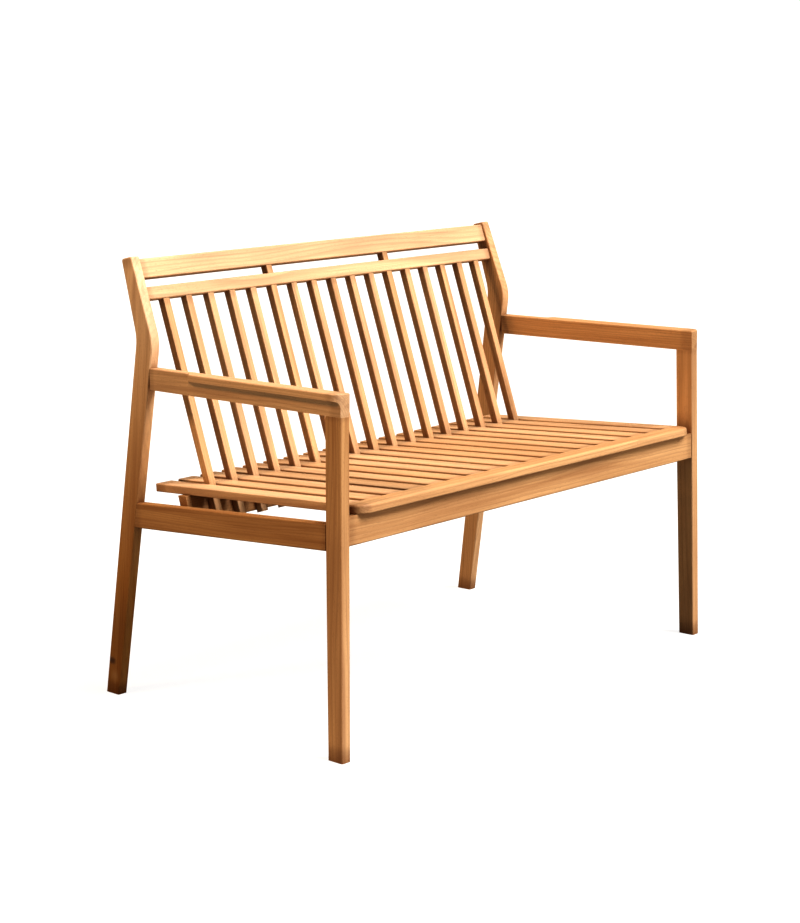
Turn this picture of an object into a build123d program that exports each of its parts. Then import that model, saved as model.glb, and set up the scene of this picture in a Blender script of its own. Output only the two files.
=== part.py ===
"""Slatted garden bench for two, in solid teak.

Frame: X is the length of the bench, Y runs from the front (-Y) to the back (+Y), Z is up.
The origin is on the ground, under the middle of the bench. All lengths are in millimetres.
The two side frames lean in towards their tops by a small splay angle, and turn in a little
towards the back. The left one is drawn flat on its own outer face and made as solid wood
inwards from there. The right one mirrors it.
"""
from build123d import *
from math import cos, radians, sin, tan
import os

# ---- Driving dimensions --------------------------------------------------------------
FOOT_WIDTH = 1096.0  # across the outer faces of the side frames, at the front of the feet
DEPTH = 674.0  # from the nose of the seat to the back of the rear feet
HEIGHT = 865.0  # to the top of the rear legs, up the side frames
SPLAY = 1.5  # degrees that each side frame leans in
TOE_IN = 0.75  # degrees that each side frame turns in towards the back
RECLINE = 18.2  # degrees that the back leans from the vertical
SEAT_SLOPE = 3.0  # degrees that the seat falls towards the back

STOCK = 21.0  # thickness of the legs, arms and rails
EDGE = 3.0  # rounding of long edges
SMALL_EDGE = 2.0  # rounding of the slats' edges

LEG_DEPTH = 40.0  # front leg, front to back, above the side rail
FOOT_DEPTH = 36.5  # front leg at the ground
TAPER_HEIGHT = 380.0  # the front leg tapers below this height

ARM_UNDER = 617.0  # underside of the armrest
ARM_HIGH = 41.5
ARM_LIP = 12.0  # how far the armrest overhangs the outer face of the side frame
ARM_LIP_THICK = 13.0
ARM_LIP_BACK = 402.0  # where the overhang starts, from the front of the leg
ARM_LIP_FLARE = 20.0  # length over which it comes out
ARM_CORNER = 18.0  # plan radius of the overhang's front corner

SIDE_RAIL_TOP = 426.8  # at the front leg
SIDE_RAIL_HIGH = 49.0
SIDE_RAIL_SLOPE = 3.6  # degrees
LONG_EDGE = 400.0  # only the edges along the side rail are longer than this

SEAT_HEIGHT = 457.0  # top of the seat at the joint between the front board and the slats
NOSE = 11.0  # how far the front board stands in front of the legs
BOARD_WIDTH = 38.0
BOARD_THICK = 17.0
BOARD_CORNER = 28.0  # plan radius of its front corners
FRONT_RAIL_UNDER = 387.5
FRONT_RAIL_SETBACK = 2.0  # behind the front faces of the legs

SLAT_PITCH = 56.4  # spacing of the seat slats, and of the back slats between them
SEAT_SLATS = 18
SEAT_SLAT_WIDTH = 40.0
SEAT_SLAT_THICK = 16.0
SEAT_SLAT_LENGTH = 507.0

BACK_SLATS = 17
LONG_SLATS = (6, 12)  # the back slats that carry on up to the top rail
BACK_SLAT_WIDTH = 16.0
BACK_SLAT_THICK = 17.0
BACK_AT_SEAT = 423.5  # front of the back slats at the top of the seat, from the front legs
BACK_SLAT_TAIL = 72.0  # length of the back slats below the top of the seat
SEAT_RAIL_TAIL = 66.0  # how far the rear seat rail reaches down beside them

MID_RAIL_UNDER = 782.5
MID_RAIL_HIGH = 24.8
TOP_RAIL_UNDER = 822.0
TOP_RAIL_HIGH = 38.3

TENON = 10.0  # thickness of the frame joints' tenons
CROSS_REACH = 12.0  # how far a cross rail's tenon goes into a side frame
SIDE_REACH = 16.0  # how far a side rail's tenon goes into a leg
ARM_REACH = 14.0  # how far the armrest's tenon goes into the rear leg
LEG_TENON = 20.0  # length of the tenon on top of the front leg
SLAT_REACH = 11.0  # length of the slats' tenons
SLAT_TENON = 8.0  # thickness of the slats' tenons
PLAY = 0.5  # space left at the bottom of a mortise

SCREW_HEAD = 4.0  # radius
SCREW_SHANK = 2.0  # radius
SCREW_SINK = 2.5  # depth of the countersunk head
SCREW_LENGTH = 34.0
SCREW_POINT = 4.0  # length of the tapered end
SCREW_TIP = 0.5  # radius of the blunt point
SCREW_RECESS = 4.2  # length across the cross recess
SCREW_RECESS_WIDE = 1.0
SLAT_DOWEL = 3.0  # radius
SLAT_DOWEL_HALF = 9.0  # half of its length
BOARD_DOWEL = 4.0  # radius
BOARD_DOWEL_HALF = 12.0
BOARD_DOWELS = 5
BOARD_DOWEL_PITCH = 220.0

# ---- Places worked out from them -----------------------------------------------------
FRONT = NOSE - DEPTH / 2  # front faces of the front legs
SEAT_JOINT = FRONT + BOARD_WIDTH - NOSE
SEAT_SLAT_GAP = SLAT_PITCH - SEAT_SLAT_WIDTH
BOARD_LENGTH = SEAT_SLATS * SLAT_PITCH - SEAT_SLAT_GAP
ARM_TOP = ARM_UNDER + ARM_HIGH

LEAN = radians(SPLAY)
TURN = radians(TOE_IN)
FALL = radians(SEAT_SLOPE)
TILT = radians(RECLINE)
RAIL_FALL = tan(radians(SIDE_RAIL_SLOPE))
BACK_Z = SEAT_HEIGHT - (FRONT + BACK_AT_SEAT - SEAT_JOINT) * tan(FALL)

# Left side frame: local x runs to the back, local y up the frame, local z inwards.
SIDE = Plane(
    origin=(-FOOT_WIDTH / 2 - FRONT * sin(TURN), 0, 0),
    x_dir=(sin(TURN), cos(TURN), 0),
    z_dir=(cos(LEAN) * cos(TURN), -cos(LEAN) * sin(TURN), -sin(LEAN)),
)
SIDE_MIDDLE = SIDE.offset((STOCK - TENON) / 2)
SIDE_UP = Axis(SIDE.origin, SIDE.y_dir)
SIDE_IN = Axis(SIDE.origin, SIDE.z_dir)
LEFT_FACE = SIDE.offset(STOCK)
RIGHT_FACE = Plane(
    origin=(-LEFT_FACE.origin.X, LEFT_FACE.origin.Y, LEFT_FACE.origin.Z),
    x_dir=(-SIDE.x_dir.X, SIDE.x_dir.Y, SIDE.x_dir.Z),
    z_dir=(-SIDE.z_dir.X, SIDE.z_dir.Y, SIDE.z_dir.Z),
)
# Top of the armrest: local x runs to the back and local y out over the side.
ARM_PLAN = Plane(
    origin=SIDE.from_local_coords((0, ARM_TOP, 0)), x_dir=SIDE.x_dir, z_dir=SIDE.y_dir
)
# Square across the armrest at its front: local x runs out over the side and local y up.
ARM_SECTION = Plane(
    origin=ARM_PLAN.from_local_coords((FRONT - EDGE, 0, 0)),
    x_dir=ARM_PLAN.y_dir,
    z_dir=SIDE.x_dir,
)
# Seat: local x runs along the bench, local y to the back, local z out of the seat.
SEAT = Plane(
    origin=(0, SEAT_JOINT, SEAT_HEIGHT), x_dir=(1, 0, 0), z_dir=(0, sin(FALL), cos(FALL))
)
SEAT_END = Plane(SEAT.origin, x_dir=(1, 0, 0), z_dir=-SEAT.y_dir)
SEAT_UNDER = SEAT.offset(-SEAT_SLAT_THICK)
BOARD_UNDER = SEAT.offset(-BOARD_THICK)
# Back: local x runs along the bench, local y up the slats, local z out of their front faces.
BACK = Plane(
    origin=(0, FRONT + BACK_AT_SEAT, BACK_Z), x_dir=(1, 0, 0), z_dir=(0, -cos(TILT), sin(TILT))
)
# Square across the back slats where they pass the seat, with local z up the slats.
BACK_FOOT = Plane(
    origin=BACK.from_local_coords((0, 0, -BACK_SLAT_THICK / 2)), x_dir=(1, 0, 0), z_dir=BACK.y_dir
)
# Cross-sections, square to the bench's length: upright, and turned to lie along the back.
SECTION = Plane(origin=(0, 0, 0), x_dir=(0, 1, 0), z_dir=(1, 0, 0))
BACK_SECTION = Plane(origin=BACK.origin, x_dir=-BACK.z_dir, z_dir=(1, 0, 0))

os.makedirs("parts", exist_ok=True)


def save(builder, name):
    """Labels a finished piece and writes it."""
    builder.part.label = name
    export_step(builder.part, f"parts/{name}.step")


def up_the_back(height):
    """Distance from the seat, measured up the back slats, at a height above the ground."""
    return (height - BACK_Z) / cos(TILT)


def slat_centres(count):
    """Middles of a row of slats along the bench."""
    return [(i - (count - 1) / 2) * SLAT_PITCH for i in range(count)]


def side_rail_top(y):
    """Height of the side rail's upper edge."""
    return SIDE_RAIL_TOP - (y - FRONT - LEG_DEPTH) * RAIL_FALL


def inner_x(point):
    """Distance from the middle of the bench to a side frame's inner face, level with a point."""
    lean_in = point.Z * tan(LEAN)
    turn_in = (point.Y - FRONT) * tan(TURN)
    return FOOT_WIDTH / 2 - STOCK / cos(LEAN) - lean_in - turn_in


# ---- Rear leg's outline on the side frame, from the ground up ------------------------
GROUND = -5.0  # the legs are drawn to here, then cut off level with the ground
LEG_BEND_RADIUS = 80.0
LEG_TOP_RADIUS = 5.0
LEG_FRONT_FOOT = (FRONT + 625.0, 0.0)
LEG_FRONT_BEND = (FRONT + 500.5, 709.0)
LEG_FRONT_TOP = (FRONT + 558.0, HEIGHT)
LEG_BACK_TOP = (FRONT + 587.0, HEIGHT - 6.0)
LEG_BACK_BEND = (FRONT + 547.0, 712.0)
LEG_BACK_FOOT = (FRONT + DEPTH - NOSE, 0.0)
BEND_ZONE = (600.0, 800.0)  # heights between which the leg bends


LEG_FRONT_PLANE = Plane(
    origin=SIDE.from_local_coords((*LEG_FRONT_FOOT, 0)),
    x_dir=SIDE.z_dir,
    z_dir=SIDE.from_local_coords(
        (LEG_FRONT_FOOT[1] - LEG_FRONT_BEND[1], LEG_FRONT_BEND[0] - LEG_FRONT_FOOT[0], 0)
    )
    - SIDE.origin,
)


def on_line(low, high, height):
    """Point at a height on the straight line through two points of the side frame."""
    share = (height - low[1]) / (high[1] - low[1])
    return (low[0] + share * (high[0] - low[0]), height)


def leg_front(height):
    """Where the rear leg's front edge is, below its bend."""
    return on_line(LEG_FRONT_FOOT, LEG_FRONT_BEND, height)[0]


# ---- Joints: each shape is added to one piece and, with play, cut out of the next ----
SIDE_TENON_HIGH = 33.0
ARM_TENON_HIGH = 24.0
LEG_TENON_WIDE = 24.0
FRONT_TENON_HIGH = 32.0
FRONT_TENON_UP = 25.0  # middle of the front rail's tenon above its lower edge
MID_TENON_HIGH = 13.0
TOP_TENON_HIGH = 27.0
SEAT_TENON_HIGH = 22.0
SEAT_TENON_DOWN = 45.0  # middle of the rear seat rail's tenon below the top of the seat
SLAT_TENON_WIDE = 10.0
SEAT_TONGUE_WIDE = 24.0
SCREW_DOWN = 42.0  # the screws in the back slats, below the top of the seat
SCREW_FACE = Plane(
    BACK.offset(-BACK_SLAT_THICK - STOCK).from_local_coords((0, -SCREW_DOWN, 0)),
    x_dir=(1, 0, 0),
    z_dir=BACK.z_dir,
)


def side_rail_tenons(mode, play=0.0):
    """One strip through the middle of the side rail that reaches into both legs."""
    start = FRONT + LEG_DEPTH - SIDE_REACH - play
    end = leg_front(side_rail_top(leg_front(SIDE_RAIL_TOP))) + SIDE_REACH + play
    shoulder = (SIDE_RAIL_HIGH - SIDE_TENON_HIGH) / 2
    with BuildSketch(SIDE_MIDDLE) as outline:
        with BuildLine():
            Polyline(
                (start, side_rail_top(start) - shoulder),
                (end, side_rail_top(end) - shoulder),
                (end, side_rail_top(end) - shoulder - SIDE_TENON_HIGH),
                (start, side_rail_top(start) - shoulder - SIDE_TENON_HIGH),
                close=True,
            )
        make_face()
    extrude(outline.sketch, amount=TENON, mode=mode)


def arm_tenon(mode, play=0.0):
    """Tenon on the back end of the armrest, which goes into the rear leg."""
    middle = ARM_UNDER + ARM_HIGH / 2
    length = 2 * ARM_REACH + play
    with BuildSketch(SIDE_MIDDLE) as outline:
        with Locations((leg_front(middle) - ARM_REACH + length / 2, middle)):
            Rectangle(length, ARM_TENON_HIGH)
    extrude(outline.sketch, amount=TENON, mode=mode)


def front_leg_tenon(mode, play=0.0):
    """Tenon on top of the front leg, which goes up into the armrest."""
    length = LEG_TENON + play
    with BuildSketch(SIDE_MIDDLE) as outline:
        with Locations((FRONT + LEG_DEPTH / 2, ARM_UNDER + length / 2)):
            Rectangle(LEG_TENON_WIDE, length)
    extrude(outline.sketch, amount=TENON, mode=mode)


def cross_tenons(section, across, up, high, mode, play):
    """A bar through a cross rail that reaches into both side frames."""
    reach = inner_x(section.from_local_coords((across, up, 0))) + CROSS_REACH + play
    with BuildSketch(section) as outline:
        with Locations((across, up)):
            Rectangle(TENON, high)
    extrude(outline.sketch, amount=reach, both=True, mode=mode)


def front_rail_tenons(mode, play=0.0):
    """Tenons of the front rail, in the front legs."""
    across = FRONT + FRONT_RAIL_SETBACK + STOCK / 2
    up = FRONT_RAIL_UNDER + FRONT_TENON_UP
    cross_tenons(SECTION, across, up, FRONT_TENON_HIGH, mode, play)


def mid_rail_tenons(mode, play=0.0):
    """Tenons of the middle rail, in the rear legs."""
    up = up_the_back(MID_RAIL_UNDER) + MID_RAIL_HIGH / 2
    across = BACK_SLAT_THICK / 2
    cross_tenons(BACK_SECTION, across, up, MID_TENON_HIGH, mode, play)


def top_rail_tenons(mode, play=0.0):
    """Tenons of the top rail, in the rear legs."""
    up = up_the_back(TOP_RAIL_UNDER) + TOP_RAIL_HIGH / 2
    across = BACK_SLAT_THICK / 2
    cross_tenons(BACK_SECTION, across, up, TOP_TENON_HIGH, mode, play)


def seat_rail_tenons(mode, play=0.0):
    """Tenons of the rear seat rail, in the side rails."""
    across = BACK_SLAT_THICK + STOCK / 2
    cross_tenons(BACK_SECTION, across, -SEAT_TENON_DOWN, SEAT_TENON_HIGH, mode, play)


def back_slat_tenon(centre, height, mode, play=0.0):
    """Tenon on the upper end of a back slat, which goes into the rail at that height."""
    with BuildSketch(BACK.offset(-(BACK_SLAT_THICK + SLAT_TENON) / 2)) as outline:
        with Locations((centre, up_the_back(height) + play / 2)):
            Rectangle(SLAT_TENON_WIDE, 2 * SLAT_REACH + play)
    extrude(outline.sketch, amount=SLAT_TENON, mode=mode)


def seat_slat_tongue(centre, mode, play=0.0):
    """Tenon on the front end of a seat slat, which goes into the front board."""
    with BuildSketch(SEAT.offset(-(SEAT_SLAT_THICK + SLAT_TENON) / 2)) as outline:
        with Locations((centre, -play / 2)):
            Rectangle(SEAT_TONGUE_WIDE, 2 * SLAT_REACH + play)
    extrude(outline.sketch, amount=SLAT_TENON, mode=mode)


def back_slat_bar(centre, bottom, top, mode):
    """A length of a back slat, measured up the back from the seat."""
    with BuildSketch(BACK_FOOT.offset(bottom)) as outline:
        with Locations((centre, 0)):
            RectangleRounded(BACK_SLAT_WIDTH, BACK_SLAT_THICK, SMALL_EDGE)
    extrude(outline.sketch, amount=top - bottom, mode=mode)


def slat_screws(centres, mode):
    """Countersunk screws from behind the rear seat rail into the back slats."""
    bottom = (Align.CENTER, Align.CENTER, Align.MIN)
    straight = SCREW_LENGTH - SCREW_POINT
    with Locations(SCREW_FACE):
        with Locations(*[(centre, 0, 0) for centre in centres]):
            Cone(SCREW_HEAD, SCREW_SHANK, SCREW_SINK, align=bottom, mode=mode)
            Cylinder(SCREW_SHANK, straight, align=bottom, mode=mode)
        with Locations(*[(centre, 0, straight) for centre in centres]):
            Cone(SCREW_SHANK, SCREW_TIP, SCREW_POINT, align=bottom, mode=mode)


def dowels(centres, plane, y, radius, half, mode, play=0.0):
    """Wooden dowels across a joint that lies in a plane."""
    with Locations(plane):
        with Locations(*[(centre, y, 0) for centre in centres]):
            Cylinder(radius, 2 * (half + play), mode=mode)


def seat_rail_axis():
    """Where the middle of the rear seat rail meets the underside of the seat slats."""
    across = BACK_SLAT_THICK + STOCK / 2
    rise = (across * (sin(TILT) - cos(TILT) * tan(FALL)) - SEAT_SLAT_THICK / cos(FALL)) / (
        cos(TILT) + sin(TILT) * tan(FALL)
    )
    point = BACK_SECTION.from_local_coords((across, rise, 0))
    return SEAT_UNDER.to_local_coords(point).Y


SLAT_DOWEL_Y = seat_rail_axis()
BOARD_DOWEL_Y = (FRONT + FRONT_RAIL_SETBACK + STOCK / 2 - SEAT_JOINT) / cos(FALL)
BOARD_DOWEL_X = [(i - (BOARD_DOWELS - 1) / 2) * BOARD_DOWEL_PITCH for i in range(BOARD_DOWELS)]


# ---- Left side frame -----------------------------------------------------------------
with BuildPart() as front_leg_left:
    with BuildSketch(SIDE):
        with BuildLine():
            Polyline(
                (FRONT, GROUND),
                (FRONT, ARM_UNDER),
                (FRONT + LEG_DEPTH, ARM_UNDER),
                (FRONT + LEG_DEPTH, TAPER_HEIGHT),
                (FRONT + FOOT_DEPTH, GROUND),
                close=True,
            )
        make_face()
    extrude(amount=STOCK)
    faces_in = edges().group_by(SIDE_IN)
    fillet(faces_in[0].sort_by(SIDE_UP)[:-1] + faces_in[-1].sort_by(SIDE_UP)[:-1], EDGE)
    front_leg_tenon(Mode.ADD)
    side_rail_tenons(Mode.SUBTRACT, PLAY)
    front_rail_tenons(Mode.SUBTRACT, PLAY)
    split(bisect_by=Plane.XY, keep=Keep.TOP)

with BuildPart() as back_leg_left:
    with BuildSketch(SIDE):
        with BuildLine():
            Polyline(
                on_line(LEG_FRONT_FOOT, LEG_FRONT_BEND, GROUND),
                LEG_FRONT_BEND,
                LEG_FRONT_TOP,
                LEG_BACK_TOP,
                LEG_BACK_BEND,
                on_line(LEG_BACK_FOOT, LEG_BACK_BEND, GROUND),
                close=True,
            )
        make_face()
        fillet(vertices().filter_by(lambda v: BEND_ZONE[0] < v.Y < BEND_ZONE[1]), LEG_BEND_RADIUS)
        fillet(vertices().filter_by(lambda v: v.Y > BEND_ZONE[1]), LEG_TOP_RADIUS)
    extrude(amount=STOCK)
    faces_in = edges().group_by(SIDE_IN)
    fillet(faces_in[0] + faces_in[-1], EDGE)
    arm_tenon(Mode.SUBTRACT, PLAY)
    side_rail_tenons(Mode.SUBTRACT, PLAY)
    mid_rail_tenons(Mode.SUBTRACT, PLAY)
    top_rail_tenons(Mode.SUBTRACT, PLAY)
    split(bisect_by=Plane.XY, keep=Keep.TOP)

with BuildPart() as armrest_left:
    with BuildSketch(ARM_PLAN):
        with BuildLine():
            Line((leg_front(ARM_TOP), -STOCK), (FRONT, -STOCK))
            Line((FRONT, -STOCK), (FRONT, ARM_LIP - ARM_CORNER))
            JernArc((FRONT, ARM_LIP - ARM_CORNER), (0, 1), ARM_CORNER, -90)
            Line(
                (FRONT + ARM_CORNER, ARM_LIP),
                (FRONT + ARM_LIP_BACK - ARM_LIP_FLARE, ARM_LIP),
            )
            Spline(
                (FRONT + ARM_LIP_BACK - ARM_LIP_FLARE, ARM_LIP),
                (FRONT + ARM_LIP_BACK, 0),
                tangents=((1, 0), (1, 0)),
            )
            Line((FRONT + ARM_LIP_BACK, 0), (leg_front(ARM_TOP), 0))
            Line((leg_front(ARM_TOP), 0), (leg_front(ARM_TOP), -STOCK))
        make_face()
    extrude(amount=-ARM_HIGH)
    with BuildSketch(ARM_SECTION):
        with BuildLine():
            Line((0, -ARM_HIGH - EDGE), (0, -ARM_LIP_THICK - ARM_LIP))
            CenterArc((ARM_LIP, -ARM_LIP_THICK - ARM_LIP), ARM_LIP, 90, 90)
            Polyline(
                (ARM_LIP, -ARM_LIP_THICK),
                (2 * ARM_LIP, -ARM_LIP_THICK),
                (2 * ARM_LIP, -ARM_HIGH - EDGE),
                (0, -ARM_HIGH - EDGE),
            )
        make_face()
    extrude(amount=DEPTH, mode=Mode.SUBTRACT)
    split(bisect_by=LEG_FRONT_PLANE, keep=Keep.TOP)
    fillet(edges().group_by(SIDE_UP)[-1].sort_by(Axis.Y)[:-1], EDGE)
    front_leg_tenon(Mode.SUBTRACT, PLAY)
    arm_tenon(Mode.ADD)

with BuildPart() as side_rail_left:
    with BuildSketch(SIDE):
        with BuildLine():
            Polyline(
                (FRONT + LEG_DEPTH, side_rail_top(FRONT + LEG_DEPTH)),
                (FRONT + DEPTH, side_rail_top(FRONT + DEPTH)),
                (FRONT + DEPTH, side_rail_top(FRONT + DEPTH) - SIDE_RAIL_HIGH),
                (FRONT + LEG_DEPTH, side_rail_top(FRONT + LEG_DEPTH) - SIDE_RAIL_HIGH),
                close=True,
            )
        make_face()
    extrude(amount=STOCK)
    split(bisect_by=LEG_FRONT_PLANE, keep=Keep.TOP)
    fillet(edges().filter_by(lambda e: e.length > LONG_EDGE), EDGE)
    side_rail_tenons(Mode.ADD)
    seat_rail_tenons(Mode.SUBTRACT, PLAY)

# ---- Right side frame ----------------------------------------------------------------
with BuildPart() as front_leg_right:
    mirror(front_leg_left.part, about=Plane.YZ)

with BuildPart() as back_leg_right:
    mirror(back_leg_left.part, about=Plane.YZ)

with BuildPart() as armrest_right:
    mirror(armrest_left.part, about=Plane.YZ)

with BuildPart() as side_rail_right:
    mirror(side_rail_left.part, about=Plane.YZ)

# ---- Rails across the bench ----------------------------------------------------------
with BuildPart() as front_rail:
    with BuildSketch(SECTION):
        with Locations((FRONT + FRONT_RAIL_SETBACK, FRONT_RAIL_UNDER)):
            Rectangle(STOCK, SEAT_HEIGHT - FRONT_RAIL_UNDER, align=(Align.MIN, Align.MIN))
        fillet(vertices().sort_by(Axis.Y)[:2], EDGE)
    extrude(amount=FOOT_WIDTH / 2, both=True)
    split(bisect_by=BOARD_UNDER, keep=Keep.BOTTOM)
    split(bisect_by=LEFT_FACE, keep=Keep.TOP)
    split(bisect_by=RIGHT_FACE, keep=Keep.TOP)
    front_rail_tenons(Mode.ADD)
    dowels(BOARD_DOWEL_X, BOARD_UNDER, BOARD_DOWEL_Y, BOARD_DOWEL, BOARD_DOWEL_HALF, Mode.SUBTRACT, PLAY)

with BuildPart() as seat_rail:
    with BuildSketch(BACK_SECTION):
        with Locations((BACK_SLAT_THICK, -SEAT_RAIL_TAIL)):
            Rectangle(STOCK, SEAT_RAIL_TAIL, align=(Align.MIN, Align.MIN))
        fillet(vertices().sort_by(Axis.Y)[:2], EDGE)
    extrude(amount=FOOT_WIDTH / 2, both=True)
    split(bisect_by=SEAT_UNDER, keep=Keep.BOTTOM)
    split(bisect_by=LEFT_FACE, keep=Keep.TOP)
    split(bisect_by=RIGHT_FACE, keep=Keep.TOP)
    seat_rail_tenons(Mode.ADD)
    slat_screws(slat_centres(BACK_SLATS), Mode.SUBTRACT)
    dowels(
        slat_centres(SEAT_SLATS), SEAT_UNDER, SLAT_DOWEL_Y, SLAT_DOWEL, SLAT_DOWEL_HALF,
        Mode.SUBTRACT, PLAY,
    )

with BuildPart() as mid_rail:
    with BuildSketch(BACK_SECTION):
        with Locations((BACK_SLAT_THICK / 2, up_the_back(MID_RAIL_UNDER))):
            Rectangle(STOCK, MID_RAIL_HIGH, align=(Align.CENTER, Align.MIN))
        fillet(vertices(), EDGE)
    extrude(amount=FOOT_WIDTH / 2, both=True)
    split(bisect_by=LEFT_FACE, keep=Keep.TOP)
    split(bisect_by=RIGHT_FACE, keep=Keep.TOP)
    mid_rail_tenons(Mode.ADD)
    for number, centre in enumerate(slat_centres(BACK_SLATS), start=1):
        if number in LONG_SLATS:
            bottom = up_the_back(MID_RAIL_UNDER) - EDGE
            back_slat_bar(centre, bottom, bottom + MID_RAIL_HIGH + 2 * EDGE, Mode.SUBTRACT)
        else:
            back_slat_tenon(centre, MID_RAIL_UNDER, Mode.SUBTRACT, PLAY)

with BuildPart() as top_rail:
    with BuildSketch(BACK_SECTION):
        with Locations((BACK_SLAT_THICK / 2, up_the_back(TOP_RAIL_UNDER))):
            Rectangle(STOCK, TOP_RAIL_HIGH, align=(Align.CENTER, Align.MIN))
        fillet(vertices(), EDGE)
    extrude(amount=FOOT_WIDTH / 2, both=True)
    split(bisect_by=LEFT_FACE, keep=Keep.TOP)
    split(bisect_by=RIGHT_FACE, keep=Keep.TOP)
    top_rail_tenons(Mode.ADD)
    for number in LONG_SLATS:
        centre = slat_centres(BACK_SLATS)[number - 1]
        back_slat_tenon(centre, TOP_RAIL_UNDER, Mode.SUBTRACT, PLAY)

# ---- Seat ----------------------------------------------------------------------------
with BuildPart() as seat_front_board:
    with BuildSketch(SEAT):
        Rectangle(BOARD_LENGTH, BOARD_WIDTH, align=(Align.CENTER, Align.MAX))
        fillet(vertices().sort_by(Axis.Y)[:2], BOARD_CORNER)
    extrude(amount=-BOARD_THICK)
    seat_out = edges().group_by(Axis(SEAT.origin, SEAT.z_dir))
    fillet(seat_out[-1].sort_by(Axis.Y)[:-1], EDGE + SMALL_EDGE)
    fillet(edges().group_by(Axis(SEAT.origin, SEAT.z_dir))[0].sort_by(Axis.Y)[:-1], EDGE)
    for centre in slat_centres(SEAT_SLATS):
        seat_slat_tongue(centre, Mode.SUBTRACT, PLAY)
    dowels(BOARD_DOWEL_X, BOARD_UNDER, BOARD_DOWEL_Y, BOARD_DOWEL, BOARD_DOWEL_HALF, Mode.SUBTRACT, PLAY)

for number, centre in enumerate(slat_centres(SEAT_SLATS), start=1):
    with BuildPart() as seat_slat:
        with BuildSketch(SEAT_END):
            with Locations((centre, -SEAT_SLAT_THICK / 2)):
                RectangleRounded(SEAT_SLAT_WIDTH, SEAT_SLAT_THICK, SMALL_EDGE)
        extrude(amount=-SEAT_SLAT_LENGTH)
        seat_slat_tongue(centre, Mode.ADD)
        dowels(
            [centre], SEAT_UNDER, SLAT_DOWEL_Y, SLAT_DOWEL, SLAT_DOWEL_HALF, Mode.SUBTRACT, PLAY
        )
    save(seat_slat, f"seat_slat_{number:02d}")

# ---- Back ----------------------------------------------------------------------------
for number, centre in enumerate(slat_centres(BACK_SLATS), start=1):
    top = TOP_RAIL_UNDER if number in LONG_SLATS else MID_RAIL_UNDER
    with BuildPart() as back_slat:
        back_slat_bar(centre, -BACK_SLAT_TAIL, up_the_back(top), Mode.ADD)
        back_slat_tenon(centre, top, Mode.ADD)
        slat_screws([centre], Mode.SUBTRACT)
    save(back_slat, f"back_slat_{number:02d}")

# ---- Fixings, each kind as one group -------------------------------------------------
with BuildPart() as back_slat_screws:
    slat_screws(slat_centres(BACK_SLATS), Mode.ADD)
    with Locations(SCREW_FACE):
        with Locations(*[(centre, 0, 0) for centre in slat_centres(BACK_SLATS)]):
            Box(SCREW_RECESS, SCREW_RECESS_WIDE, SCREW_SINK, mode=Mode.SUBTRACT)
            Box(SCREW_RECESS_WIDE, SCREW_RECESS, SCREW_SINK, mode=Mode.SUBTRACT)

with BuildPart() as seat_slat_dowels:
    dowels(
        slat_centres(SEAT_SLATS), SEAT_UNDER, SLAT_DOWEL_Y, SLAT_DOWEL, SLAT_DOWEL_HALF, Mode.ADD
    )

with BuildPart() as front_board_dowels:
    dowels(BOARD_DOWEL_X, BOARD_UNDER, BOARD_DOWEL_Y, BOARD_DOWEL, BOARD_DOWEL_HALF, Mode.ADD)

save(front_leg_left, "front_leg_left")
save(front_leg_right, "front_leg_right")
save(back_leg_left, "back_leg_left")
save(back_leg_right, "back_leg_right")
save(armrest_left, "armrest_left")
save(armrest_right, "armrest_right")
save(side_rail_left, "side_rail_left")
save(side_rail_right, "side_rail_right")
save(front_rail, "front_rail")
save(seat_rail, "seat_rail")
save(mid_rail, "mid_rail")
save(top_rail, "top_rail")
save(seat_front_board, "seat_front_board")
save(back_slat_screws, "back_slat_screws")
save(seat_slat_dowels, "seat_slat_dowels")
save(front_board_dowels, "front_board_dowels")
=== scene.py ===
"""Garden bench in oiled teak: looks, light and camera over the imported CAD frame. All in metres."""
import math
import random

import bpy
from mathutils import Matrix, Vector


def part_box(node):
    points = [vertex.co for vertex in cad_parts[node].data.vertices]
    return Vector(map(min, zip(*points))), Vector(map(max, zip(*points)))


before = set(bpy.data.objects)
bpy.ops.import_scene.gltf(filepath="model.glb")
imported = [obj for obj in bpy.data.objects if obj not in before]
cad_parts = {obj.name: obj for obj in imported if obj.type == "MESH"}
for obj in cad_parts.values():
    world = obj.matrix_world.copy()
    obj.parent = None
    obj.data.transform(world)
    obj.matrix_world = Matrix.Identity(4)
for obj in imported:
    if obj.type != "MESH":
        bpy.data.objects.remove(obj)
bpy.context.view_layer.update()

scene = bpy.context.scene

# ---- Camera ---------------------------------------------------------------------------
CAMERA_AT = Vector((-2.9457, -2.7078, 1.1921))
YAW = math.radians(47.066)  # to the right of straight back
PITCH = math.radians(10.897)  # downwards
ROLL = math.radians(0.985)  # clockwise
LENS = 78.47  # focal length in millimetres
SENSOR = 36.0  # its size in millimetres along the picture's long side


def place_camera():
    """Puts the scene's camera in place."""
    forward = Vector((math.sin(YAW) * math.cos(PITCH), math.cos(YAW) * math.cos(PITCH), -math.sin(PITCH)))
    level = Vector((math.cos(YAW), -math.sin(YAW), 0.0))
    down = forward.cross(level)
    right = math.cos(ROLL) * level + math.sin(ROLL) * down
    image_down = -math.sin(ROLL) * level + math.cos(ROLL) * down
    data = bpy.data.cameras.new("camera")
    data.lens = LENS
    data.sensor_width = SENSOR
    camera = bpy.data.objects.new("camera", data)
    turn = Matrix((right, -image_down, -forward)).transposed()
    camera.matrix_world = Matrix.Translation(CAMERA_AT) @ turn.to_4x4()
    scene.collection.objects.link(camera)
    scene.camera = camera


place_camera()

# ---- Stage and light ------------------------------------------------------------------
scene.view_settings.view_transform = "Standard"
scene.view_settings.look = "None"
scene.view_settings.gamma = 0.80  # a print's contrast: deeper, warmer shade
scene.view_settings.exposure = 0.16

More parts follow.
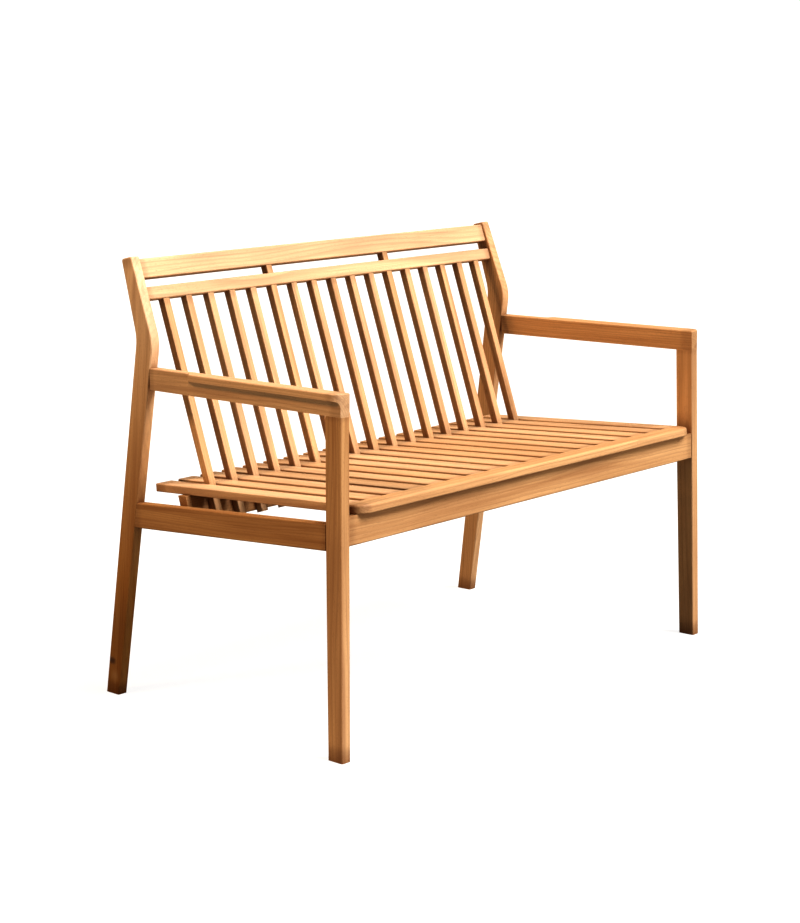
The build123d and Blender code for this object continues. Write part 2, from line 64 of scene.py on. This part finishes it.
FLOOR_SIZE = 200.0
FLOOR_PAINT = (0.20, 0.20, 0.20, 1)  # the part of the floor that takes shadows
FLOOR_GLOW = 0.80  # the part that doesn't
FLOOR_BOUNCE = (0.18, 0.17, 0.14, 1)  # the floor as the bench is lit by it
WHITE = (1.0, 1.0, 1.0, 1)
BACKDROP_STRENGTH = 1.05
FILL = (1.0, 0.72, 0.45, 1)  # weak warm light from all round
FILL_STRENGTH = 0.18


def emitter(tree, kind, color, strength):
    """A background or emission shader."""
    node = tree.nodes.new(kind)
    node.inputs["Color"].default_value = color
    node.inputs["Strength"].default_value = strength
    return node


def diffuse(tree, color):
    """A plain matt shader."""
    node = tree.nodes.new("ShaderNodeBsdfDiffuse")
    node.inputs["Color"].default_value = color
    return node


def seen_directly(tree, unseen, seen, out):
    """Shows one shader to the camera and the other to everything else."""
    ray = tree.nodes.new("ShaderNodeLightPath")
    either = tree.nodes.new("ShaderNodeMixShader")
    tree.links.new(ray.outputs["Is Camera Ray"], either.inputs[0])
    tree.links.new(unseen.outputs[0], either.inputs[1])
    tree.links.new(seen.outputs[0], either.inputs[2])
    tree.links.new(either.outputs[0], out.inputs["Surface"])


def lay_floor():
    """Lays a floor that looks pale, with faint shadows, but lights the bench from below no
    more than a darker one would."""
    half = FLOOR_SIZE / 2
    corners = [(-half, -half, 0), (half, -half, 0), (half, half, 0), (-half, half, 0)]
    mesh = bpy.data.meshes.new("floor")
    mesh.from_pydata(corners, [], [(0, 1, 2, 3)])
    floor = bpy.data.objects.new("floor", mesh)
    scene.collection.objects.link(floor)

    material = bpy.data.materials.new("floor")
    material.use_nodes = True
    tree = material.node_tree
    tree.nodes.remove(tree.nodes["Principled BSDF"])
    paint = diffuse(tree, FLOOR_PAINT)
    glow = emitter(tree, "ShaderNodeEmission", WHITE, FLOOR_GLOW)
    both = tree.nodes.new("ShaderNodeAddShader")
    tree.links.new(paint.outputs[0], both.inputs[0])
    tree.links.new(glow.outputs[0], both.inputs[1])
    seen_directly(tree, diffuse(tree, FLOOR_BOUNCE), both, tree.nodes["Material Output"])
    mesh.materials.append(material)


def fill_world():
    """Surrounds the bench with a white backdrop, which lights it as a weak warm fill."""
    world = bpy.data.worlds.new("studio")
    world.use_nodes = True
    scene.world = world
    tree = world.node_tree
    tree.nodes.clear()
    fill = emitter(tree, "ShaderNodeBackground", FILL, FILL_STRENGTH)
    backdrop = emitter(tree, "ShaderNodeBackground", WHITE, BACKDROP_STRENGTH)
    seen_directly(tree, fill, backdrop, tree.nodes.new("ShaderNodeOutputWorld"))


def sun(name, azimuth, elevation, strength, spread, color):
    """A soft far light. azimuth is where it comes from, turned to the right from the front,
    and spread is how wide it looks. Angles are in degrees."""
    data = bpy.data.lights.new(name, "SUN")
    data.energy = strength
    data.angle = math.radians(spread)
    data.color = color
    light = bpy.data.objects.new(name, data)
    turn = math.radians(azimuth)
    rise = math.radians(elevation)
    source = Vector((math.sin(turn) * math.cos(rise), -math.cos(turn) * math.cos(rise), math.sin(rise)))
    light.rotation_euler = (-source).to_track_quat("-Z", "Y").to_euler()
    scene.collection.objects.link(light)


lay_floor()
fill_world()
sun("key", azimuth=20, elevation=52, strength=5.3, spread=30, color=(1.0, 0.99, 0.96))
sun("side", azimuth=-107, elevation=42, strength=1.75, spread=12, color=(1.0, 0.70, 0.42))
sun("low", azimuth=5, elevation=6, strength=0.95, spread=20, color=(1.0, 0.96, 0.90))


# ---- Node trees -----------------------------------------------------------------------
class Nodes:
    """Short calls for building a node tree."""

    def __init__(self, tree):
        self.tree = tree

    def new(self, kind, **values):
        node = self.tree.nodes.new(kind)
        for key, value in values.items():
            setattr(node, key, value)
        return node

    def feed(self, socket, value):
        """Links a socket to a value, or sets it if the value is a plain one."""
        if isinstance(value, bpy.types.NodeSocket):
            self.tree.links.new(value, socket)
        else:
            socket.default_value = value

    def math(self, operation, a, b=0.0):
        node = self.new("ShaderNodeMath", operation=operation)
        self.feed(node.inputs[0], a)
        self.feed(node.inputs[1], b)
        return node.outputs[0]

    def times(self, a, b):
        return self.math("MULTIPLY", a, b)

    def parts(self, vector):
        """X, Y and Z of a vector."""
        node = self.new("ShaderNodeSeparateXYZ")
        self.feed(node.inputs[0], vector)
        return node.outputs

    def scaled(self, vector, scale):
        node = self.new("ShaderNodeMapping")
        self.feed(node.inputs["Vector"], vector)
        node.inputs["Scale"].default_value = scale
        return node.outputs[0]

    def noise(self, vector, scale, detail=2.0, roughness=0.5, distortion=0.0):
        node = self.new("ShaderNodeTexNoise")
        self.feed(node.inputs["Vector"], vector)
        node.inputs["Scale"].default_value = scale
        node.inputs["Detail"].default_value = detail
        node.inputs["Roughness"].default_value = roughness
        node.inputs["Distortion"].default_value = distortion
        return node.outputs[0]

    def ramp(self, value, low, high, to_low=0.0, to_high=1.0, smooth=False):
        """Carries low to to_low and high to to_high, and holds those values beyond them."""
        node = self.new("ShaderNodeMapRange")
        node.interpolation_type = "SMOOTHSTEP" if smooth else "LINEAR"
        self.feed(node.inputs["Value"], value)
        self.feed(node.inputs["From Min"], low)
        self.feed(node.inputs["From Max"], high)
        self.feed(node.inputs["To Min"], to_low)
        self.feed(node.inputs["To Max"], to_high)
        return node.outputs[0]

    def mix(self, amount, a, b, blend="MIX"):
        node = self.new("ShaderNodeMix", data_type="RGBA", blend_type=blend)
        self.feed(node.inputs[0], amount)
        self.feed(node.inputs[6], a)
        self.feed(node.inputs[7], b)
        return node.outputs[2]

    def tinted(self, amount, color, tint):
        """The colour, part of the way to itself multiplied by a tint."""
        return self.mix(amount, color, self.mix(1.0, color, tint, "MULTIPLY"))

    def bump(self, shader, height, strength, distance):
        """Gives a shader relief. distance is the depth of the relief."""
        node = self.new("ShaderNodeBump")
        node.inputs["Strength"].default_value = strength
        node.inputs["Distance"].default_value = distance
        self.feed(node.inputs["Height"], height)
        self.feed(shader.inputs["Normal"], node.outputs[0])


# ---- Figure of the wood ---------------------------------------------------------------
RING_WIDTH = 0.0052
RING_SWAY = 0.035  # how far the rings wander along the log
LIGHT = (0.640, 0.350, 0.150, 1)
WARM = (0.520, 0.255, 0.094, 1)
DARK = (0.290, 0.112, 0.034, 1)
DEEP = (0.110, 0.038, 0.011, 1)

# Scales of the noises, in waves per metre: along the grain, and twice across it.
SWAY_SCALE = (1.3, 9.0, 9.0)
CLOUD_SCALE = (2.6, 14.0, 14.0)
WIDE_SCALE = (2.2, 70.0, 70.0)
FINE_SCALE = (9.0, 520.0, 520.0)
FIBRE_SCALE = (40.0, 2600.0, 2600.0)
PORE_SCALE = (110.0, 1500.0, 1500.0)

GROUP_SOCKETS = [
    ("Wood", "INPUT", "NodeSocketVector"),
    ("Tone", "INPUT", "NodeSocketFloat"),
    ("Figure", "INPUT", "NodeSocketFloat"),
    ("Color", "OUTPUT", "NodeSocketColor"),
    ("Roughness", "OUTPUT", "NodeSocketFloat"),
    ("Height", "OUTPUT", "NodeSocketFloat"),
]


def ring_phase(n, wood):
    """How far through its growth ring a point is, from 0 to 1. Distance from the heart is
    bent by slow waves along the log."""
    _, across, up = n.parts(wood)
    sway = n.times(n.math("SUBTRACT", n.noise(n.scaled(wood, SWAY_SCALE), 1.0), 0.5), RING_SWAY)
    squares = n.math("ADD", n.math("POWER", across, 2.0), n.math("POWER", up, 2.0))
    radius = n.math("ADD", n.math("SQRT", squares), sway)
    # Ring widths vary, so the count is bent once more by a noise of the radius alone.
    bend = n.new("ShaderNodeCombineXYZ")
    n.feed(bend.inputs[0], n.times(radius, 60.0))
    uneven = n.times(n.noise(bend.outputs[0], 1.0), 3.0)
    return n.math("FRACT", n.math("ADD", n.times(radius, 1 / RING_WIDTH), uneven))


def open_pores(n, wood, phase):
    """Short dark dashes along the grain, more of them in the early wood."""
    cells = n.new("ShaderNodeTexVoronoi", feature="F1")
    n.feed(cells.inputs["Vector"], n.scaled(wood, PORE_SCALE))
    cells.inputs["Scale"].default_value = 1.0
    dash = n.ramp(cells.outputs["Distance"], 0.30, 0.12, smooth=True)
    early = n.ramp(phase, 0.55, 0.05)
    return n.times(dash, n.math("ADD", n.times(early, 0.6), 0.25))


def teak_group():
    """Figure of flat-sawn and quarter-sawn teak. Wood holds a point of the log, in metres:
    X runs along the grain, Y and Z across it from the heart of the tree."""
    group = bpy.data.node_groups.new("teak_figure", "ShaderNodeTree")
    for name, direction, kind in GROUP_SOCKETS:
        group.interface.new_socket(name=name, in_out=direction, socket_type=kind)
    n = Nodes(group)
    source = n.new("NodeGroupInput")
    result = n.new("NodeGroupOutput")
    wood = source.outputs["Wood"]
    tone = source.outputs["Tone"]

    phase = ring_phase(n, wood)
    # Late wood is a thin dark line at the end of each ring.
    late = n.times(n.ramp(phase, 0.45, 0.93, smooth=True), n.ramp(phase, 1.0, 0.94, smooth=True))
    late = n.times(late, source.outputs["Figure"])
    wide = n.noise(n.scaled(wood, WIDE_SCALE), 1.0, 3.0, 0.55, 0.2)
    fine = n.noise(n.scaled(wood, FINE_SCALE), 1.0, 3.0, 0.6)
    fibre = n.noise(n.scaled(wood, FIBRE_SCALE), 1.0, 2.0, 0.6)
    cloud = n.noise(n.scaled(wood, CLOUD_SCALE), 1.0)
    pores = open_pores(n, wood, phase)

    base = n.mix(n.ramp(wide, 0.34, 0.68), LIGHT, WARM)
    base = n.mix(n.times(n.ramp(cloud, 0.42, 0.75), 0.50), base, DARK)
    base = n.mix(n.times(n.ramp(wide, 0.56, 0.74), 0.45), base, DARK)
    base = n.mix(n.times(late, 0.36), base, DARK)
    base = n.mix(n.times(n.ramp(fine, 0.50, 0.78), 0.50), base, DARK)
    base = n.mix(n.times(n.ramp(fibre, 0.45, 0.80), 0.25), base, LIGHT)
    base = n.mix(n.times(pores, 0.75), base, DEEP)
    # Each board has its own depth of colour: paler wood is also less saturated and yellower.
    shade = n.new("ShaderNodeHueSaturation")
    n.feed(shade.inputs["Color"], base)
    n.feed(shade.inputs["Value"], n.ramp(tone, -0.5, 1.2, 0.25, 1.50))
    n.feed(shade.inputs["Saturation"], n.ramp(tone, 0.0, 1.0, 1.14, 0.72))
    n.feed(shade.inputs["Hue"], n.ramp(tone, 0.0, 1.0, 0.499, 0.509))
    n.feed(result.inputs["Color"], shade.outputs[0])

    rough = n.math("ADD", n.ramp(wide, 0.3, 0.7, 0.46, 0.58), n.times(pores, 0.25))
    n.feed(result.inputs["Roughness"], rough)

    height = n.times(pores, -1.0)
    for relief, amount in ((fine, 0.35), (fibre, 0.25), (late, 0.3)):
        height = n.math("ADD", height, n.times(relief, amount))
    n.feed(result.inputs["Height"], height)
    return group


FIGURE = teak_group()

# ---- Boards ---------------------------------------------------------------------------
SPLAY = math.radians(1.5)  # lean of the side frames
SEAT_FALL = math.radians(3.0)  # fall of the seat to the back
RECLINE = math.radians(18.2)  # lean of the back slats
RAIL_FALL = math.radians(3.6)  # fall of the side rails

TONE_LOW = 0.15  # height above the floor of the first tone of a pair
TONE_HIGH = 0.85  # and of the second

END_FADE = 0.028  # from the end of a board to where it starts to darken
END_DARK = 0.012  # and to where it is darkest
END_TINT = (0.42, 0.34, 0.30, 1)
# painted shade: surfaces within this reach of another surface are darkened
CORNER_SHADE_REACH = 0.050  # how near another surface has to be to darken a corner
# colour of the painted shade in corners and gaps
CORNER_SHADE_TINT = (0.40, 0.26, 0.16, 1)
# paler rounded edges: partly rubbed wear, partly painted highlight
EDGE_WEAR_AND_HIGHLIGHT_RADIUS = 0.003
EDGE_WEAR_AND_HIGHLIGHT_TINT = (1.45, 1.50, 1.60, 1)
RELIEF = 0.0004

# Marks on the left rear leg: centre, size along the axes, part of that size over which the
# mark is full, strength and colour.
MARKS = [
    # A dark knot, and a pale patch below it.
    ((-0.538, 0.316, 0.067), (0.020, 0.016, 0.011), 0.45, 0.85, (0.045, 0.014, 0.006, 1)),
    ((-0.539, 0.309, 0.037), (0.020, 0.018, 0.020), 0.10, 0.45, (0.420, 0.260, 0.130, 1)),
]
MARK_EDGE = 1.25  # where a mark has faded out, in the same measure


def spot(n, place, centre, size, full):
    """1 at a point of the bench, fading to 0 around it."""
    offset = n.new("ShaderNodeMapping")
    n.feed(offset.inputs["Vector"], place)
    offset.inputs["Scale"].default_value = [1 / part for part in size]
    offset.inputs["Location"].default_value = [-c / part for c, part in zip(centre, size)]
    length = n.new("ShaderNodeVectorMath", operation="LENGTH")
    n.feed(length.inputs[0], offset.outputs[0])
    ragged = n.times(n.noise(place, 160.0, 3.0, 0.6), 0.5)
    distance = n.math("ADD", length.outputs["Value"], ragged)
    return n.ramp(distance, full, MARK_EDGE, 1.0, 0.0, smooth=True)


def darker_ends(n, color, place, from_middle, reach):
    """Oil and dust gather at the ends of a board, where its open grain and its joints are."""
    ragged = n.times(n.noise(place, 90.0, 3.0, 0.6), 0.012)
    ending = n.ramp(n.math("ADD", from_middle, ragged), reach - END_FADE, reach - END_DARK, smooth=True)
    return n.tinted(n.times(ending, 0.34), color, END_TINT)


def painted_corner_shade(n, color):
    """Painted shade: darkens corners, narrow gaps and the places under and between parts, where shade
    falls.
    """
    corner = n.new("ShaderNodeAmbientOcclusion", samples=6)
    corner.inputs["Distance"].default_value = CORNER_SHADE_REACH
    closed = n.ramp(corner.outputs["AO"], 0.95, 0.35, smooth=True)
    return n.tinted(n.times(closed, 0.85), color, CORNER_SHADE_TINT)


def rubbed_and_highlit_edges(n, color, place):
    """Handled edges are rubbed a little paler, in patches; the paler edges are also a painted highlight
    along the rounded edges.
    """
    rounded = n.new("ShaderNodeBevel", samples=4)
    rounded.inputs["Radius"].default_value = EDGE_WEAR_AND_HIGHLIGHT_RADIUS
    geometry = n.new("ShaderNodeNewGeometry")
    turn = n.new("ShaderNodeVectorMath", operation="DOT_PRODUCT")
    n.feed(turn.inputs[0], rounded.outputs[0])
    n.feed(turn.inputs[1], geometry.outputs["Normal"])
    patchy = n.ramp(n.noise(place, 35.0, 4.0, 0.6), 0.35, 0.65)
    edge = n.times(n.ramp(turn.outputs["Value"], 0.995, 0.90), patchy)
    return n.tinted(n.times(edge, 0.40), color, EDGE_WEAR_AND_HIGHLIGHT_TINT)


def teak(name, box, grain, tone, heart, figure):
    """Material of one board. grain is the direction of its fibres, and heart says how far,
    in metres, and at what angle the middle of the tree lies from the board's middle. tone is
    the depth of colour, or a pair of them, for TONE_LOW and TONE_HIGH. figure is how strongly
    the growth rings show."""
    material = bpy.data.materials.new(name)
    material.use_nodes = True
    n = Nodes(material.node_tree)
    shader = material.node_tree.nodes["Principled BSDF"]
    shader.inputs["IOR"].default_value = 1.45
    shader.inputs["Specular IOR Level"].default_value = 0.35
    place = n.new("ShaderNodeTexCoord").outputs["Object"]

    # The board's grain is turned onto X, and its middle put somewhere in a long log.
    along = Vector(grain).normalized()
    side = Vector((0, 0, 1)) if abs(along.z) < 0.8 else Vector((0, 1, 0))
    second = (side - along * side.dot(along)).normalized()
    to_log = Matrix((along, second, along.cross(second)))
    middle = (Vector(box[0]) + Vector(box[1])) / 2
    distance, angle = heart
    start = Vector((random.uniform(-20, 20), distance * math.cos(angle), distance * math.sin(angle)))
    mapping = n.new("ShaderNodeMapping")
    n.feed(mapping.inputs["Vector"], place)
    mapping.inputs["Rotation"].default_value = to_log.to_euler()
    mapping.inputs["Location"].default_value = start - to_log @ middle
    wood = mapping.outputs[0]

    group = n.new("ShaderNodeGroup", node_tree=FIGURE)
    n.feed(group.inputs["Wood"], wood)
    # A pair of tones changes the colour with height; on front_leg_left this is painted light bounced up
    # from the floor.
    if isinstance(tone, tuple):
        tone = n.ramp(n.parts(place)[2], TONE_LOW, TONE_HIGH, *tone)
    n.feed(group.inputs["Tone"], tone)
    group.inputs["Figure"].default_value = figure

    from_middle = n.math("ABSOLUTE", n.math("SUBTRACT", n.parts(wood)[0], start.x))
    reach = sum(abs(a) * (high - low) for a, low, high in zip(along, *box)) / 2
    color = darker_ends(n, group.outputs["Color"], place, from_middle, reach)
    # painted shade in corners, gaps and under parts
    color = painted_corner_shade(n, color)
    # paler edges: partly rubbed wear, partly painted highlight
    color = rubbed_and_highlit_edges(n, color, place)
    if name == "back_leg_left":
        for centre, size, full, strength, paint in MARKS:
            color = n.mix(n.times(spot(n, place, centre, size, full), strength), color, paint)
    n.feed(shader.inputs["Base Color"], color)
    n.feed(shader.inputs["Roughness"], group.outputs["Roughness"])
    n.bump(shader, group.outputs["Height"], 0.35, RELIEF)
    return material


# ---- Screws ---------------------------------------------------------------------------
CLEAN_STEEL = (0.60, 0.60, 0.61, 1)
STAINED_STEEL = (0.42, 0.41, 0.40, 1)
TOOL_MARKS = 0.0001


def steel():
    """Turned stainless steel of the screws."""
    material = bpy.data.materials.new("stainless")
    material.use_nodes = True
    n = Nodes(material.node_tree)
    shader = material.node_tree.nodes["Principled BSDF"]
    shader.inputs["Metallic"].default_value = 1.0
    place = n.new("ShaderNodeTexCoord").outputs["Object"]
    marks = n.noise(place, 2500.0, 3.0, 0.6)
    stain = n.noise(place, 260.0)
    n.feed(shader.inputs["Base Color"], n.mix(n.ramp(stain, 0.4, 0.75), CLEAN_STEEL, STAINED_STEEL))
    n.feed(shader.inputs["Roughness"], n.ramp(marks, 0.3, 0.7, 0.26, 0.44))
    n.bump(shader, marks, 0.2, TOOL_MARKS)
    return material


# ---- Which board is what --------------------------------------------------------------
LEG_RAKE = -0.10  # how far the fibres of a rear leg lean forward per metre of height

# Depth of colour of each kind of board, from 0 (dark) to 1 (pale), and how much it varies.
TONES = {
    "dowels": (0.80, 0.0),
    "top_rail": (0.86, 0.0),
    "mid_rail": (0.84, 0.0),
    "back_slat": (0.68, 0.10),
    "seat_slat": (0.74, 0.10),
    "seat_front_board": (0.56, 0.0),
    "front_rail": (0.50, 0.0),
    "front_leg_right": (0.62, 0.0),
    "back_leg_right": (0.66, 0.0),
    "armrest_left": (0.80, 0.0),
    "armrest_right": (0.58, 0.0),
    "side_rail": (0.30, 0.03),
    "seat_rail": (0.35, 0.0),
}
# Boards that change along their length: depth of colour at TONE_LOW and at TONE_HIGH.
CHANGING = {
    # painted light bounced up from the floor
    "front_leg_left": (0.62, 0.30),  # paler towards its foot
    "back_leg_left": (-0.15, 1.20),  # much darker towards its foot, paler towards its top
}
# How strongly the growth rings show, where it isn't fully.
FIGURES = {
    "back_leg_left": 0.6,
    "seat_slat_dowels": 0.3,
    "front_board_dowels": 0.3,
}


def grain_of(node):
    """Direction of the fibres in a board, from what the board is."""
    mirrored = -1 if node.endswith("_right") else 1
    if node.startswith("front_leg"):
        return (mirrored * math.sin(SPLAY), 0, math.cos(SPLAY))
    if node.startswith("back_leg"):
        return (mirrored * math.sin(SPLAY), LEG_RAKE, math.cos(SPLAY))
    if node.startswith("armrest"):
        return (0, 1, 0)
    if node.startswith("side_rail"):
        return (0, math.cos(RAIL_FALL), -math.sin(RAIL_FALL))
    if node.startswith("seat_slat_"):
        return (0, math.cos(SEAT_FALL), -math.sin(SEAT_FALL))
    if node.startswith("back_slat_"):
        return (0, math.sin(RECLINE), math.cos(RECLINE))
    return (1, 0, 0)


def tone_of(node):
    """Depth of colour of one board."""
    if node in CHANGING:
        return CHANGING[node]
    middle, spread = next(value for key, value in TONES.items() if key in node)
    return middle + random.uniform(-spread, spread)


def dress(node, material):
    """Puts one material on a CAD node."""
    for slot in bpy.data.objects[node].material_slots:
        slot.material = material


random.seed(41)
for node in sorted(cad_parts):
    if node == "back_slat_screws":
        dress(node, steel())
        continue
    tone = tone_of(node)
    heart = (random.uniform(0.05, 0.16), random.uniform(0, 2 * math.pi))
    dress(node, teak(node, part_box(node), grain_of(node), tone, heart, FIGURES.get(node, 1.0)))
